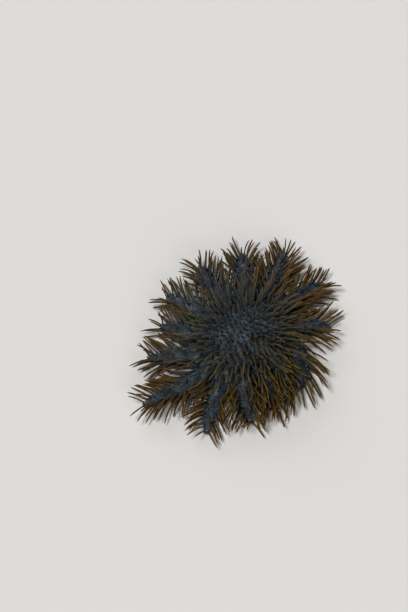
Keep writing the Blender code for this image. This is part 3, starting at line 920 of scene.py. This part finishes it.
def make_spine_piece(name, placed, rng):
    """The spines of one node, gently bent, lumpy at the base and three-edged at the tip."""
    count = len(placed)
    shares, widths = columns(SPINE_PROFILE)
    roots, tips, _, sheaths = columns(placed)
    lines = np.array([spine_line(root, tip, bow, shares) for root, tip, bow, _ in placed])
    length = np.linalg.norm(tips - roots, axis=1)
    size = SPINE_RADIUS * rng.uniform(*THICKNESS_VARIATION, count)
    size *= np.clip(length / THICK_LENGTH, *THICK_LIMITS) ** 0.5
    lumps = rng.normal(0, LUMPS, (count, len(shares), SPINE_SIDES)) * (1 - LUMPS_LOST * shares)[:, None]
    turn = np.arange(SPINE_SIDES) / SPINE_SIDES * math.tau
    edges = EDGES * fade(shares, *EDGE_RANGE)[:, None] * np.cos(3 * turn)
    radii = (size[:, None] * widths)[..., None] * (1 + lumps + edges)
    warmth, drab, growth = columns(colour_traits(spine[0]) for spine in placed)
    traits = {"tint": rng.uniform(0, 1, count), "sheath": sheaths + growth, "warmth": warmth, "drab": drab}
    return make_tubes(name, lines, radii, shares, unit_rows(tips - roots), **traits)


def relieve_skin(skin, spines):
    """Raises a mound round each spine and gives the skin its soft unevenness and grain."""
    points, normals = coordinates_of(skin), normals_of(skin)
    tree = point_tree(spines.roots)
    near = np.array([tree.find(point)[2] for point in points])
    mound = smooth_array(1 - near / SOCKET_RADIUS)
    swell, grain = noise_at(points, SWELL_SIZE), noise_at(points, GRAIN_SIZE)
    rise = mound * SOCKET_HEIGHT + swell * SWELL_HEIGHT + grain * GRAIN_HEIGHT * (1 - mound)
    rise *= fade(points[:, 2], UNDERSIDE, RELIEF_TOP)
    points += normals * rise[:, None]
    set_coordinates(skin, points)
    # Masks for the skin's colours. The crest mask is high where the normal rises; the flanks below it, and
    # patches in the crowd, get painted shade.
    flat = unit_rows((points - np.array(CENTRE)) * np.array((1, 1, 0)))
    crowd = fade(flat @ np.array(heading_vector(CROWD_HEADING)), *CROWD_RANGE)
    start = mix(*SHADE_EDGE_FACING, crowd)
    crest = fade(normals[:, 2], start, start + SHADE_EDGE_SPAN) * mix(1, fade(swell, *SHADE_PATCH_RANGE), crowd)
    below = fade(normals[:, 2], *BELOW_FACING) * fade(points[:, 2], *BELOW_HEIGHT)
    for label, values in (("socket", mound), ("crest", crest), ("below", below)):
        set_attribute(skin.data, label, values)
    skin.data.shade_smooth()
    return near


def make_papulae(name, skin, near, rng):
    """Soft little gills in patches between the spines."""
    points, normals = coordinates_of(skin), normals_of(skin)
    fit = (normals[:, 2] > PAPULA_FACING) & (points[:, 2] > PAPULA_FLOOR) & (near > PAPULA_ROOM)
    patch = noise_at(points, PAPULA_PATCH, PAPULA_OFFSET) + PAPULA_CROWDING
    weight = fit * np.clip(patch, PAPULA_LEAST, 1)
    chosen = rng.choice(len(points), size=PAPULAE_IN_PIECE, replace=False, p=weight / weight.sum())
    aims = unit_rows(normals[chosen] + rng.normal(0, PAPULA_TILT, (PAPULAE_IN_PIECE, 3)))
    height = rng.uniform(*PAPULA_HEIGHT, PAPULAE_IN_PIECE) * MM
    radii = rng.uniform(*PAPULA_RADIUS, PAPULAE_IN_PIECE) * MM
    reach = height[:, None] * next(columns(PAPULA_PROFILE))
    lines = points[chosen][:, None] + aims[:, None] * reach[..., None]
    return round_tubes(name, lines, radii, PAPULA_PROFILE, PAPULA_SIDES, aims, rng)


def make_tube_feet(arms, rng):
    """Two rows of sucker-tipped feet along every groove, each set down on the floor."""
    roots, tips = [], []
    for arm in arms:
        for place, along, across, half_width, depth in arm.groove_points(FOOT_SPACING):
            lift = UP * (UNDERSIDE + depth * FOOT_ROOT + place.z)
            for side in (-1, 1):
                sway = Vector(rng.normal(0, FOOT_SWAY, 2)) * MM
                stand = place + across * side * (half_width * FOOT_STANCE[1] + sway.x) + along * sway.y
                roots.append(place + across * side * half_width * FOOT_STANCE[0] + lift)
                tips.append(Vector((stand.x, stand.y, FOOT_SOLE + place.z * TIP_HANG)))
    radii = rng.uniform(*FOOT_RADIUS, len(roots))
    return split_tubes("tube_feet", roots, tips, radii, FOOT_PROFILE, FOOT_SIDES, rng, FOOT_BEND)


def peg_places(arms, grooves):
    """(place, direction) of the small blunt spines: beside the grooves, and over the belly."""
    found = []
    for arm in arms:
        for place, along, across, half_width, _ in arm.groove_points(PEG_SPACING):
            for side in (-1, 1):
                root = place + across * side * (half_width + PEG_INSET)
                found.append((root, across * side * GROOVE_PEG_LEAN[0] - UP + along * GROOVE_PEG_LEAN[1]))
        count = round(arm.length / BELLY_PEG_SPACING)
        for station in range(count):
            share = (station + 0.5) / count
            centre, along, across = arm.frame_at(share)
            for row in BELLY_ROWS:
                root = centre + across * arm.half_width_at(share) * FOOT_SHARE * row
                if grooves.is_clear(root):
                    found.append((root, across * row * ARM_PEG_LEAN[0] - UP + along * ARM_PEG_LEAN[1]))
    for angle, reach in spiral(BELLY_PEG_SPACING):
        root = CENTRE + heading_vector(angle) * disc_radius_at(angle) * reach * BELLY_REACH[1]
        if reach * DISC_RADIUS > MOUTH_RADIUS * BELLY_REACH[0] and grooves.is_clear(root):
            found.append((root, heading_vector(angle) * DISC_PEG_LEAN - UP))
    return found


def make_pegs(arms, grooves, skin_tree, rng):
    """The small blunt spines of the underside, cut short where they would reach the floor."""
    starts, ends = [], []
    for root, aim in peg_places(arms, grooves):
        hit, _, _, _ = skin_tree.ray_cast(Vector((root.x, root.y, -MM)), UP)
        if hit is None or hit.z > PEG_CEILING:
            continue
        turned = (aim.normalized() + Vector(rng.normal(0, PEG_TURN, 3))).normalized()
        room = (hit.z - PEG_CLEARANCE) / max(PEG_LEAST_DROP, -turned.z)
        starts.append(hit + UP * PEG_SUNK)
        ends.append(hit + turned * min(rng.uniform(*PEG_LENGTH), room))
    radii = rng.uniform(*PEG_RADIUS, len(starts))
    return split_tubes("underside_spines", starts, ends, radii, PEG_PROFILE, PEG_SIDES, rng, PEG_BEND)


def make_mouth():
    """The soft mouth: a folded membrane round a small opening."""
    points = []
    for k, (radius, height) in enumerate(MOUTH_PROFILE):
        folding = MOUTH_FOLD * smoothstep((k - FOLD_START) / FOLD_SPAN) * min(1.0, radius / OPENING_RADIUS)
        for i in range(MOUTH_COLUMNS):
            turn = math.tau * i / MOUTH_COLUMNS
            fold = math.cos(turn * 2 * len(ARMS)) * folding
            place = heading_vector(turn) * (radius * MM + fold * FOLD_SHARES[0])
            points.append(CENTRE + place + UP * (height * MM + fold * FOLD_SHARES[1]))
    mouth = mesh_object("mouth_membrane", points, loft_faces(len(MOUTH_PROFILE), MOUTH_COLUMNS))
    bm = bmesh.new()
    bm.from_mesh(mouth.data)
    bmesh.ops.recalc_face_normals(bm, faces=bm.faces)
    bm.to_mesh(mouth.data)
    bm.free()
    soften = mouth.modifiers.new("soften", "SUBSURF")
    soften.levels = soften.render_levels = 1
    applied(mouth)
    mouth.data.shade_smooth()
    return mouth


def make_mouth_spines(arms, rng):
    """Pointed spines on the corners between the grooves, laid in over the mouth."""
    starts, ends = [], []
    for arm, neighbour in zip(arms, arms[1:] + arms[:1]):
        middle = (arm.root.normalized() + neighbour.root.normalized()).normalized()
        beside = middle.cross(UP)
        for side, reach in MOUTH_SPINES:
            root = middle * MOUTH_RADIUS * MOUTH_SPINE_ROOT + beside * side * MOUTH_SPINE_STANCE[0]
            tip = middle * MOUTH_RADIUS * (1 - reach) + beside * side * MOUTH_SPINE_STANCE[1]
            stray = Vector(rng.normal(0, MOUTH_SPINE_STRAY, 3)) * MM
            starts.append(CENTRE + root + UP * (UNDERSIDE + MOUTH_SPINE_RISE[0]))
            ends.append(CENTRE + tip + UP * MOUTH_SPINE_RISE[1] + stray)
    radii = rng.uniform(*MOUTH_SPINE_RADIUS, len(starts)) * MM
    return simple_tubes("mouth_spines", starts, ends, radii, PEG_PROFILE, MOUTH_SPINE_SIDES, rng, PEG_BEND)


def widest_gap(turn, skin_tree, roots):
    """Place and normal on the disc, near a heading, where the spines leave the most room."""
    best, gap = None, 0
    for reach in np.linspace(*SIEVE_PLACES, SIEVE_TRIES):
        for swing in np.linspace(-SIEVE_SWING, SIEVE_SWING, SIEVE_TRIES):
            flat = CENTRE + heading_vector(turn + swing) * DISC_RADIUS * reach
            hit, normal, _, _ = skin_tree.ray_cast(flat + UP * ABOVE_ALL, -UP)
            room = np.linalg.norm(roots - np.array(hit), axis=1).min()
            if room > gap:
                best, gap = (hit, normal), room
    return best


def make_sieve_plates(skin_tree, spines, rng):
    """Small domed plates with fine radiating furrows, in the gaps between the disc's spines."""
    points, faces = [], []
    for heading in SIEVE_TURNS:
        hit, normal = widest_gap(heading, skin_tree, np.array(spines.roots))
        turn = normal.to_track_quat("Z", "Y")
        radius = SIEVE_RADIUS * rng.uniform(*SIEVE_VARIATION)
        faces += loft_faces(SIEVE_RINGS, SIEVE_COLUMNS, len(points))
        for r in range(SIEVE_RINGS):
            share = 1 - r / SIEVE_RINGS
            for c in range(SIEVE_COLUMNS):
                angle = math.tau * c / SIEVE_COLUMNS
                furrow = math.cos(angle * SIEVE_FURROWS + 3 * math.sin(share * 5)) * smoothstep(share * 3)
                height = SIEVE_HEIGHT * (1 - share**3) + furrow * FURROW_HEIGHT * (1 - share**6)
                edge = heading_vector(angle) * radius * share * (1 + SIEVE_LOBES * math.cos(3 * angle))
                points.append(hit + turn @ (edge + UP * (height - SIEVE_SUNK)))
    plates = mesh_object("sieve_plates", points, faces)
    plates.data.shade_smooth()
    return plates


def make_eyespots(arms):
    """The small red eyespot under the very end of each arm."""
    roots, tips = [], []
    for arm in arms:
        centre, along, _ = arm.frame_at(1.0)
        height = arm.height_at(1.0) * EYESPOT_RISE[0] + UNDERSIDE * EYESPOT_RISE[1]
        roots.append(centre + UP * height - along * EYESPOT_BACK)
        tips.append(roots[-1] + along * EYESPOT_LENGTH - UP * EYESPOT_DROP)
    radii = np.full(len(roots), EYESPOT_RADIUS)
    rng = np.random.default_rng(EYESPOT_SEED)
    return simple_tubes("eyespots", roots, tips, radii, PEG_PROFILE, EYESPOT_SIDES, rng)


class Finish:
    """A material and its nodes, with short names for the kinds of node that the looks need."""

    def __init__(self, name):
        self.material = bpy.data.materials.new(name)
        self.material.use_nodes = True
        self.tree = self.material.node_tree
        self.shader = self.tree.nodes["Principled BSDF"]
        self.place = self.node("ShaderNodeTexCoord").outputs["Object"]

    def connect(self, socket, value):
        """Gives an input a number, a colour or another node's output."""
        if isinstance(value, bpy.types.NodeSocket):
            self.tree.links.new(value, socket)
        else:
            socket.default_value = (*value, 1) if socket.type == "RGBA" else value

    def node(self, kind, inputs=(), **settings):
        node = self.tree.nodes.new(kind)
        for key, value in settings.items():
            setattr(node, key, value)
        for key, value in dict(inputs).items():
            self.connect(node.inputs[key], value)
        return node

    def noise(self, size, detail):
        inputs = {"Vector": self.place, "Scale": 1 / size, "Detail": detail, "Roughness": 0.55}
        return self.node("ShaderNodeTexNoise", inputs).outputs["Fac"]

    def cells(self, size):
        inputs = {"Vector": self.place, "Scale": 1 / size}
        return self.node("ShaderNodeTexVoronoi", inputs).outputs["Distance"]

    def attribute(self, name):
        return self.node("ShaderNodeAttribute", attribute_name=name).outputs["Fac"]

    def maths(self, operation, first, second):
        return self.node("ShaderNodeMath", {0: first, 1: second}, operation=operation).outputs["Value"]

    def mapped(self, value, old, new):
        """A value's range moved from old to new."""
        inputs = {"Value": value, "From Min": old[0], "From Max": old[1], "To Min": new[0], "To Max": new[1]}
        return self.node("ShaderNodeMapRange", inputs).outputs["Result"]

    def ramp(self, factor, *stops):
        node = self.node("ShaderNodeValToRGB", {"Fac": factor})
        elements = node.color_ramp.elements
        while len(elements) < len(stops):
            elements.new(0.5)
        for element, (position, colour) in zip(elements, stops):
            element.position = position
            element.color = (*colour, 1)
        return node.outputs["Color"]

    def mix(self, factor, first, second, blend="MIX"):
        node = self.node("ShaderNodeMix", data_type="RGBA", blend_type=blend)
        sockets = {socket.identifier: socket for socket in node.inputs}
        for key, value in (("Factor_Float", factor), ("A_Color", first), ("B_Color", second)):
            self.connect(sockets[key], value)
        return next(socket for socket in node.outputs if socket.identifier == "Result_Color")

    def over(self, base, colour, value, old, new):
        """A colour laid over a base, where a value's range from old gives shares from new."""
        return self.mix(self.mapped(value, old, new), base, colour)

    def done(self, colour, roughness, height=None, distance=0.0, specular=0.5):
        """The material, with its colour, its roughness and a fine relief joined to the shader."""
        self.connect(self.shader.inputs["Base Color"], colour)
        self.connect(self.shader.inputs["Roughness"], roughness)
        self.connect(self.shader.inputs["Specular IOR Level"], specular)
        if height is not None:
            bump = self.node("ShaderNodeBump", {"Height": height, "Distance": distance, "Strength": 1.0})
            self.connect(self.shader.inputs["Normal"], bump.outputs["Normal"])
        return self.material


def skin_material():
    finish = Finish("slate_skin")
    blotch, grain, plates = finish.noise(13 * MM, 4), finish.cells(1.25 * MM), finish.cells(2.6 * MM)
    back = finish.ramp(blotch, (0.36, SLATE_DARK), (0.52, SLATE), (0.68, SLATE_PALE))
    back = finish.over(back, SLATE_PALE, grain, (0.05, 0.45), (0.50, 0.0))
    back = finish.over(back, SLATE_DARK, finish.noise(2.4 * MM, 2), (0.42, 0.60), (0.75, 0.0))
    back = finish.over(back, RUST, finish.noise(24 * MM, 2), (0.50, 0.72), (0.0, 0.40))
    back = finish.over(back, SLATE, finish.attribute("socket"), (0.1, 1.0), (0.0, 0.65))
    # Painted shade: where the crest mask is low, on the sideways-facing flanks and in patches among the
    # crowded arms, the skin takes the dark brown-black flank colour.
    back = finish.mix(finish.attribute("crest"), FLANK_SHADE, back)
    belly = finish.ramp(finish.noise(5 * MM, 3), (0.35, BELLY_DARK), (0.65, BELLY))
    belly = finish.over(belly, BELLY_SEAM, plates, (0.30, 0.62), (0.0, 0.65))
    under = finish.attribute("below")
    fine = finish.maths("MULTIPLY", finish.noise(0.5 * MM, 2), 0.4)
    seams = finish.maths("MULTIPLY", plates, finish.maths("MULTIPLY", under, 1.5))
    height = finish.maths("SUBTRACT", finish.maths("SUBTRACT", fine, grain), seams)
    roughness = finish.mapped(blotch, (0.3, 0.7), (0.68, 0.44))
    return finish.done(finish.mix(under, back, belly), roughness, height, 0.45 * MM, 0.18)


def spine_material():
    finish = Finish("spine_sheath")
    along, tint, warmth = (finish.attribute(name) for name in ("along", "tint", "warmth"))
    grain = finish.cells(0.8 * MM)
    cloud = finish.mapped(finish.noise(4 * MM, 3), (0.3, 0.7), (-0.10, 0.10))
    shifted = finish.maths("ADD", along, cloud)
    shifted = finish.maths("ADD", shifted, finish.mapped(tint, (0, 1), (-0.06, 0.06)))
    bare = finish.maths("SUBTRACT", shifted, finish.attribute("sheath"))
    rusting = finish.maths("ADD", shifted, finish.maths("MULTIPLY", warmth, 0.25))
    shaft = finish.over(finish.mix(warmth, OLIVE, OCHRE), RUST, rusting, (0.75, 1.15), (0.0, 0.85))
    shaft = finish.mix(finish.maths("MULTIPLY", finish.attribute("drab"), 0.9), shaft, DRAB)
    shaft = finish.over(shaft, TIP_PALE, along, (0.84, 1.0), (0.0, 0.8))
    # The blue sheath is the spine's own colour; its darkening to SLATE_DARK at the root is painted shade
    # where the spine meets the skin.
    sheath = finish.ramp(shifted, (0.0, SLATE_DARK), (0.10, SLATE), (0.30, SLATE_GREY))
    colour = finish.over(sheath, shaft, bare, (-0.08, 0.10), (0.0, 1.0))
    colour = finish.over(colour, GRAIN_PALE, grain, (0.05, 0.5), (0.22, 0.0))
    shade = finish.mapped(finish.noise(1.6 * MM, 3), (0.25, 0.75), (0.55, 1.25))
    tone = finish.mapped(tint, (0, 1), (0.60, 1.25))
    colour = finish.mix(1.0, colour, finish.maths("MULTIPLY", shade, tone), "MULTIPLY")
    roughness = finish.mapped(along, (0.2, 1.0), (0.62, 0.42))
    return finish.done(colour, roughness, finish.maths("MULTIPLY", grain, -1.0), 0.28 * MM, 0.14)


def papula_material():
    finish = Finish("papula")
    tint = finish.attribute("tint")
    low = finish.ramp(tint, (0.0, SLATE_DARK), (0.50, SLATE), (0.78, SLATE_PALE), (1.0, OLIVE))
    high = finish.ramp(tint, (0.0, SLATE), (0.40, SLATE_PALE), (1.0, GILL_PALE))
    return finish.done(finish.over(low, high, finish.attribute("along"), (0.3, 1.0), (0.0, 0.7)), 0.42)


def belly_material():
    """Soft pale tissue of the feet and small spines, browner towards the ends."""
    finish = Finish("belly_tissue")
    mottle = finish.noise(0.9 * MM, 3)
    colour = finish.ramp(finish.attribute("tint"), *TISSUE_TONES)
    colour = finish.over(colour, TISSUE_END, finish.attribute("along"), (0.2, 1.0), (0.0, 0.55))
    colour = finish.over(colour, TISSUE_DARK, mottle, (0.45, 0.7), (0.0, 0.45))
    finish.connect(finish.shader.inputs["Subsurface Weight"], 0.12)
    finish.connect(finish.shader.inputs["Subsurface Radius"], (0.0012, 0.0007, 0.0004))
    return finish.done(colour, 0.42, mottle, 0.15 * MM)


def mottled_material(name, mottle, tones, roughness, distance, relief=None):
    """Colours and relief from one noise of a size and a detail, or the relief from another."""
    finish = Finish(name)
    tone = finish.noise(*mottle)
    height = finish.noise(*relief) if relief else tone
    return finish.done(finish.ramp(tone, *tones), roughness, height, distance)


def make_camera():
    focal_pixels = PIXELS_PER_METRE * CAMERA_DISTANCE
    back = Vector((0, -math.cos(CAMERA_ELEVATION), math.sin(CAMERA_ELEVATION)))
    right = Vector((1, 0, 0))
    above = back.cross(right)
    across = (DISC_PIXEL[0] - IMAGE_SIZE[0] / 2) / focal_pixels
    down = (DISC_PIXEL[1] - IMAGE_SIZE[1] / 2) / focal_pixels
    behind = (back + right * across - above * down).normalized()
    right = (right - behind * right.dot(behind)).normalized()
    data = bpy.data.cameras.new("camera")
    data.sensor_width = SENSOR
    data.lens = focal_pixels * SENSOR / max(IMAGE_SIZE)
    camera = bpy.data.objects.new("camera", data)
    turn = Matrix((right, behind.cross(right), behind)).transposed()
    camera.matrix_world = Matrix.Translation(CENTRE + back * CAMERA_DISTANCE) @ turn.to_4x4()
    bpy.context.scene.collection.objects.link(camera)
    bpy.context.scene.camera = camera


def add_soft_light(name, source, softness, strength, colour=(1, 1, 1)):
    """A broad even light, like that of a large softbox far away, from the direction of source."""
    data = bpy.data.lights.new(name, "SUN")
    data.angle = softness
    data.energy = strength
    data.color = colour
    light = bpy.data.objects.new(name, data)
    light.location = CENTRE + Vector(source)
    light.rotation_euler = Vector(source).to_track_quat("Z", "Y").to_euler()
    bpy.context.scene.collection.objects.link(light)


def make_studio():
    mesh = bpy.data.meshes.new("floor")
    bm = bmesh.new()
    bmesh.ops.create_grid(bm, x_segments=1, y_segments=1, size=FLOOR_SIZE)
    bm.to_mesh(mesh)
    bm.free()
    mesh.materials.append(Finish("floor").done(FLOOR_COLOUR, 0.8))
    floor = linked_object("floor", mesh)
    world = bpy.data.worlds.new("studio")
    world.use_nodes = True
    background = world.node_tree.nodes["Background"]
    background.inputs["Color"].default_value = (*AIR_COLOUR, 1)
    background.inputs["Strength"].default_value = AIR_STRENGTH
    bpy.context.scene.world = world
    for light in LIGHTS:
        add_soft_light(*light)
    bpy.context.scene.view_settings.view_transform = "Standard"


def dress(piece, material, slot="spiny_skin", *nodes):
    """Gives a piece its material and its place in the model."""
    piece.data.materials.clear()
    piece.data.materials.append(material)
    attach(piece, "root")
    if nodes:
        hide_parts(*nodes)


def main():
    rng = np.random.default_rng(DETAIL_SEED)
    make_camera()
    make_studio()
    corners = disc_corners()
    arms = [Arm(i, corners) for i in range(len(ARMS))]
    grooves = Grooves(arms)
    skin = make_skin(arms, grooves)
    spines = place_spines(surface_tree(skin), arms)
    near = relieve_skin(skin, spines)
    dress(skin, skin_material(), "spiny_skin", "disc", *[arm.name for arm in arms])
    sheath = spine_material()
    for owner, placed in spines.placed.items():
        dress(make_spine_piece("spines_" + owner, placed, rng), sheath)
    skin_tree = surface_tree(skin)
    tissue = belly_material()
    for piece in make_tube_feet(arms, rng) + make_pegs(arms, grooves, skin_tree, rng):
        dress(piece, tissue)
    lips = mottled_material("mouth_membrane", (2.2 * MM, 4), MOUTH_TONES, 0.40, 0.25 * MM, (0.7 * MM, 3))
    dress(make_mouth(), lips, "mouth_skin", "mouth")
    dress(make_mouth_spines(arms, rng), lips, "mouth_skin")
    sieve = mottled_material("sieve_plate", (0.5 * MM, 3), SIEVE_TONES, 0.55, 0.12 * MM)
    dress(make_sieve_plates(skin_tree, spines, rng), sieve)
    red = mottled_material("eyespot", (0.3 * MM, 3), EYESPOT_TONES, 0.38, 0.08 * MM)
    dress(make_eyespots(arms), red)
    papula = papula_material()
    for i in range(PAPULA_PIECES):
        dress(make_papulae(f"papulae_{i + 1}", skin, near, rng), papula)


main()
